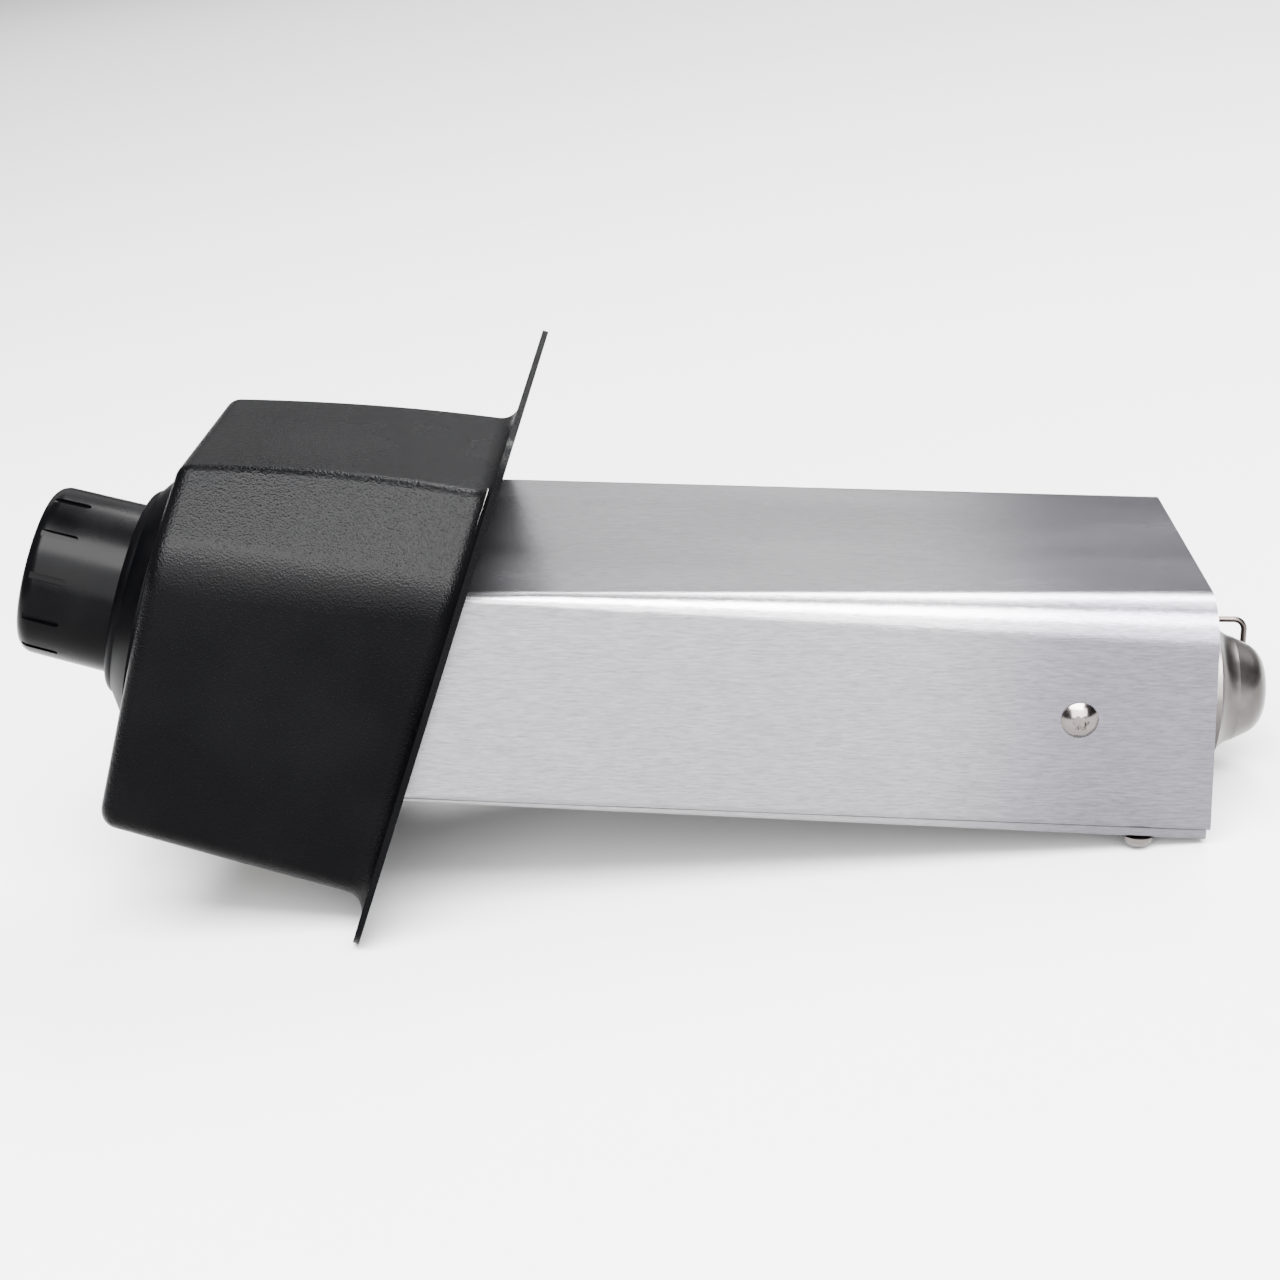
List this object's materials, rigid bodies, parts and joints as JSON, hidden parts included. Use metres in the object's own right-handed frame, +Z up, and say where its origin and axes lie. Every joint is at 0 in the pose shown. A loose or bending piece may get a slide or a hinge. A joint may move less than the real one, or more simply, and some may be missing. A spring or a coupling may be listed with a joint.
{
  "type": "pizza oven gas burner",
  "caption": "Gas burner attachment for a portable oven: push-and-turn knob, black housing with a leaning flange, brushed steel burner box, bell nozzle and spark electrode.",
  "frame": {"origin": "centre of the flange back face, which seats on the oven", "axes": "+X along the burner box towards the nozzle, +Z up, +Y across; the flange leans 17.6 degrees, its top towards +X"},
  "size_m": [0.3609, 0.14, 0.1448],
  "materials": {
    "moulded_black": "fine leather-like moulded grain",
    "bezel_black": "smooth satin moulding",
    "knob_black": "smooth satin moulding",
    "plate_steel": "plain rolled steel",
    "plate_black": "heat-proof black coat",
    "gasket_grey": "compressed fibre",
    "screw_steel": "polished stainless",
    "brass": "machined",
    "igniter_case": "moulded",
    "igniter_plunger_white": "moulded",
    "brushed_cover": "brushed along its length",
    "brushed_base": "brushed along its length",
    "panel_steel": "plain rolled steel",
    "fibre": "pressed ceramic fibre",
    "tube_steel": "drawn steel",
    "copper_pipe": "drawn copper",
    "cast_nozzle": "satin bead-blasted",
    "electrode_metal": "heat-darkened wire",
    "ceramic_white": "glazed ceramic",
    "lead_sleeve": "silicone sleeve"
  },
  "bodies": {
    "burner": {"control_housing": "moulded_black", "bezel_ring": "bezel_black", "mounting_plate": "plate_black", "plate_gasket": "gasket_grey", "plate_screws": "screw_steel", "bezel_screws": "screw_steel", "stem_spring": "screw_steel", "valve_body": "brass", "stem_nut": "screw_steel", "valve_bracket": "plate_steel", "bracket_screws": "screw_steel", "igniter": "igniter_case", "inlet_fitting": "brass", "inlet_nut": "brass", "body_cover": "brushed_cover", "body_base": "brushed_base", "side_screws": "screw_steel", "base_screws": "screw_steel", "end_panel": "panel_steel", "heat_insulation": "fibre", "mixing_tube": "tube_steel", "gas_pipe": "copper_pipe", "jet_holder": "brass", "gas_jet": "brass", "tube_bracket": "plate_steel", "tube_screws": "screw_steel", "burner_nozzle": "cast_nozzle", "nozzle_screws": "screw_steel", "electrode_wire": "electrode_metal", "electrode_holder": "ceramic_white", "thermocouple": "copper_pipe", "igniter_lead": "lead_sleeve"},
    "push_carrier": {"push_collar": "plate_steel"},
    "knob": {"control_knob": "knob_black", "knob_insert": "brass", "valve_stem": "screw_steel"},
    "plug": {"valve_plug": "brass"},
    "plunger": {"igniter_plunger": "igniter_plunger_white"},
    "shutter": {"air_shutter": "tube_steel"}
  },
  "joints": [
    {"name": "knob_push", "type": "slide", "parent": "burner", "child": "push_carrier", "axis": [0.9694, 0, -0.2453], "range_m": [0, 0.004], "stiffness_N_per_m": 1500, "springref_m": -0.003, "deforming": ["stem_spring"]},
    {"name": "knob_turn", "type": "hinge", "parent": "push_carrier", "child": "knob", "pos_m": [-0.10142, 0, 0.01042], "axis": [-0.9694, 0, 0.2453], "range_deg": [0, 180]},
    {"name": "plug_turn", "type": "hinge", "parent": "burner", "child": "plug", "pos_m": [-0.03938, 0, -0.00528], "axis": [-0.9694, 0, 0.2453], "range_deg": [0, 180]},
    {"name": "plunger_push", "type": "slide", "parent": "burner", "child": "plunger", "axis": [0.9694, 0, -0.2453], "range_m": [0, 0.004]},
    {"name": "shutter_turn", "type": "hinge", "parent": "burner", "child": "shutter", "pos_m": [0.046, 0, -0.0176], "axis": [1, 0, 0], "range_deg": [0, 40]}
  ],
  "couplings": [
    {"joint": "plug_turn", "follows": "knob_turn", "ratio": 1},
    {"joint": "plunger_push", "follows": "knob_push", "ratio": 1}
  ]
}
